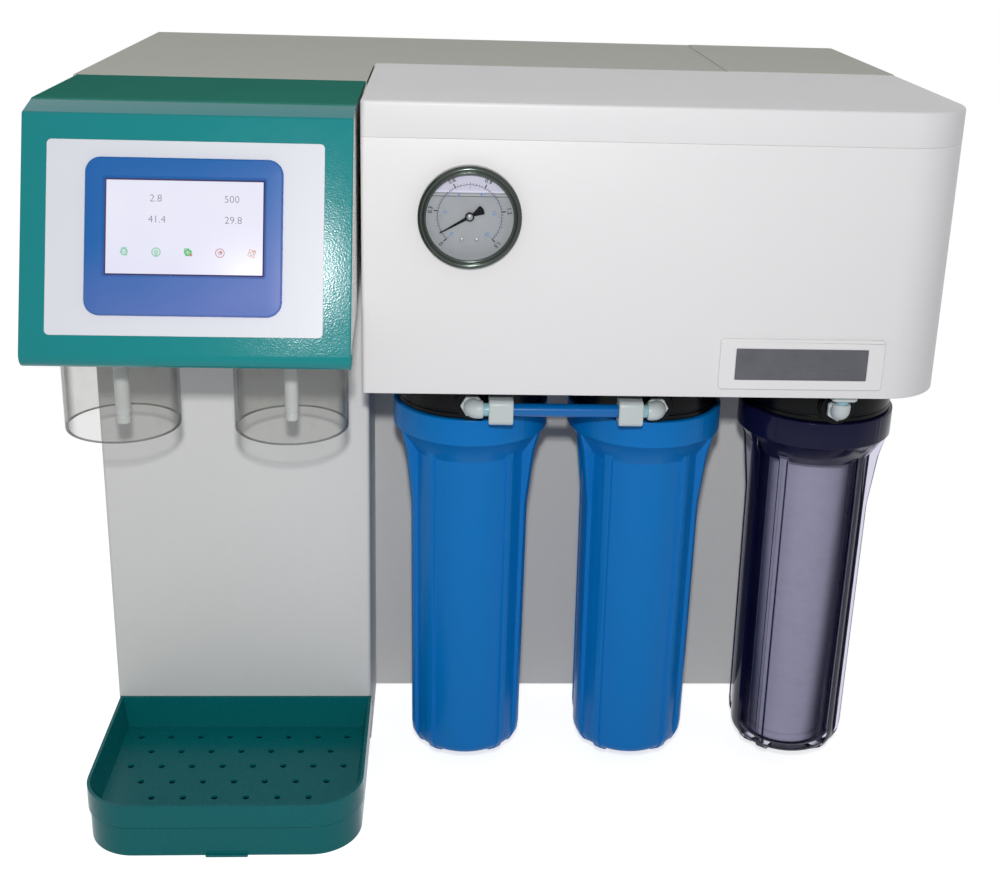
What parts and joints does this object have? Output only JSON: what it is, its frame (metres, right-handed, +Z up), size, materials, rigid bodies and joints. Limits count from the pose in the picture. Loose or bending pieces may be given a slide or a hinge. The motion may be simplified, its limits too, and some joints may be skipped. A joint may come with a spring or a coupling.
{
  "type": "ultrapure water system",
  "caption": "Bench ultrapure water unit: tall casing with a leaning dispensing head over a drip tray, beside a cabinet with a pressure gauge above ribbed filter housings.",
  "frame": {"origin": "on the table under the middle of the unit's overall box", "axes": "+X to the right seen from the front, +Y to the back, +Z up"},
  "size_m": [0.622, 0.5216, 0.551],
  "materials": {
    "casing_paint": "pale warm grey powder coat, satin",
    "rear_paint": "pale grey powder coat, satin",
    "top_enamel": "grey-green enamel, glossy",
    "rubber": "black moulded rubber",
    "steel": "bright zinc-plated or stainless steel",
    "cabinet_shell": "smooth white moulding, satin gloss",
    "head_teal": "teal moulding, satin gloss",
    "cheek_white": "white moulding, matt",
    "fascia": "pale blue-grey sheet, matt",
    "bezel_blue": "blue moulding, satin gloss",
    "screen": "pale lit display, glossy",
    "electronics": "green solder mask",
    "white_fitting": "white moulded fitting, glossy",
    "outlet_white": "white tube, satin",
    "clear_cup": "clear moulded plastic",
    "tray_teal": "dark teal moulding, glossy",
    "bright_ring": "bright polished ring",
    "gauge_glass": "flat clear glass",
    "dial_white": "white dial with plain black scale",
    "brass": "plain brass",
    "pointer_black": "black enamel",
    "dark_metal": "dark brushed metal, bare",
    "black_plastic": "black moulding, satin gloss",
    "sump_blue": "blue translucent moulding, glossy",
    "sump_navy": "clear violet-blue moulding, glossy",
    "filter_medium": "white filter cartridge, matt",
    "blue_tube": "blue tube, satin",
    "vessel_white": "white moulded vessel",
    "pump_grey": "dark grey enamel",
    "supply_zinc": "plain metal case"
  },
  "bodies": {
    "root": {"column_cover": "casing_paint", "recess_panel": "casing_paint", "base_plate": "casing_paint", "head_bracket": "casing_paint", "rear_cover": "rear_paint", "top_plate": "top_enamel", "rear_top_cover": "top_enamel", "rubber_feet": "rubber", "cover_screws": "steel", "filter_bracket": "steel", "gauge_case": "steel", "upper_cabinet": "cabinet_shell", "name_plate_frame": "cabinet_shell", "head_cover": "head_teal", "head_left_cheek": "cheek_white", "head_right_cheek": "cheek_white", "head_base": "cheek_white", "fascia_sheet": "fascia", "screen_bezel": "bezel_blue", "display_panel": "screen", "display_module": "electronics", "control_board": "electronics", "dispense_manifold": "white_fitting", "elbow_fittings": "white_fitting", "union_nuts": "white_fitting", "left_outlet_tube": "outlet_white", "right_outlet_tube": "outlet_white", "rear_port_tubes": "outlet_white", "riser_tube": "outlet_white", "gauge_bezel": "bright_ring", "gauge_lens": "gauge_glass", "gauge_dial": "dial_white", "gauge_movement": "brass", "name_plate": "dark_metal", "filter_head_1": "black_plastic", "filter_head_2": "black_plastic", "filter_head_3": "black_plastic", "power_inlet": "black_plastic", "bulkhead_fittings": "black_plastic", "link_tube": "blue_tube", "membrane_housing": "vessel_white", "polishing_column": "vessel_white", "booster_pump": "pump_grey", "power_supply": "supply_zinc"},
    "lid": {"cabinet_lid": "cabinet_shell"},
    "left_shield": {"left_cup": "clear_cup"},
    "right_shield": {"right_cup": "clear_cup"},
    "tray": {"tray_base": "tray_teal"},
    "tray_top": {"drip_tray": "tray_teal"},
    "pointer": {"gauge_pointer": "pointer_black"},
    "rocker": {"rocker_switch": "black_plastic"},
    "cartridge_1": {"filter_cartridge_1": "filter_medium"},
    "sump_1": {"filter_sump_1": "sump_blue", "sump_seal_1": "rubber"},
    "cartridge_2": {"filter_cartridge_2": "filter_medium"},
    "sump_2": {"filter_sump_2": "sump_blue", "sump_seal_2": "rubber"},
    "cartridge_3": {"filter_cartridge_3": "filter_medium"},
    "sump_3": {"filter_sump_3": "sump_navy", "sump_seal_3": "rubber"}
  },
  "joints": [
    {"name": "lid_lift", "type": "slide", "parent": "root", "child": "lid", "axis": [0, 0, 1], "range_m": [0, 0.06]},
    {"name": "left_shield_pull", "type": "slide", "parent": "root", "child": "left_shield", "axis": [0, 0, -1], "range_m": [0, 0.1]},
    {"name": "right_shield_pull", "type": "slide", "parent": "root", "child": "right_shield", "axis": [0, 0, -1], "range_m": [0, 0.1]},
    {"name": "tray_slide", "type": "slide", "parent": "root", "child": "tray", "axis": [0, -1, 0], "range_m": [0, 0.15]},
    {"name": "tray_top_lift", "type": "slide", "parent": "tray", "child": "tray_top", "axis": [0, 0, 1], "range_m": [0, 0.08]},
    {"name": "pointer_turn", "type": "hinge", "parent": "root", "child": "pointer", "pos_m": [-0.0305, -0.1722, 0.4755], "axis": [0, 1, 0], "range_deg": [-15, 255], "stiffness_Nm_per_rad": 0.002},
    {"name": "rocker_tip", "type": "hinge", "parent": "root", "child": "rocker", "pos_m": [-0.2095, 0.2428, 0.105], "axis": [1, 0, 0], "range_deg": [-7, 7]},
    {"name": "cartridge_1_drop", "type": "slide", "parent": "root", "child": "cartridge_1", "axis": [0, 0, 1], "range_m": [-0.018, 0]},
    {"name": "sump_1_unscrew", "type": "hinge", "parent": "cartridge_1", "child": "sump_1", "pos_m": [-0.0258, -0.0822, 0.3], "axis": [0, 0, 1], "range_deg": [-1080, 0]},
    {"name": "cartridge_2_drop", "type": "slide", "parent": "root", "child": "cartridge_2", "axis": [0, 0, 1], "range_m": [-0.018, 0]},
    {"name": "sump_2_unscrew", "type": "hinge", "parent": "cartridge_2", "child": "sump_2", "pos_m": [0.1074, -0.0822, 0.3], "axis": [0, 0, 1], "range_deg": [-1080, 0]},
    {"name": "cartridge_3_drop", "type": "slide", "parent": "root", "child": "cartridge_3", "axis": [0, 0, 1], "range_m": [-0.018, 0]},
    {"name": "sump_3_unscrew", "type": "hinge", "parent": "cartridge_3", "child": "sump_3", "pos_m": [0.2406, -0.0822, 0.3], "axis": [0, 0, 1], "range_deg": [-1080, 0]}
  ],
  "couplings": [
    {"joint": "cartridge_1_drop", "follows": "sump_1_unscrew", "m_per_rad": 0.00095493},
    {"joint": "cartridge_2_drop", "follows": "sump_2_unscrew", "m_per_rad": 0.00095493},
    {"joint": "cartridge_3_drop", "follows": "sump_3_unscrew", "m_per_rad": 0.00095493}
  ]
}
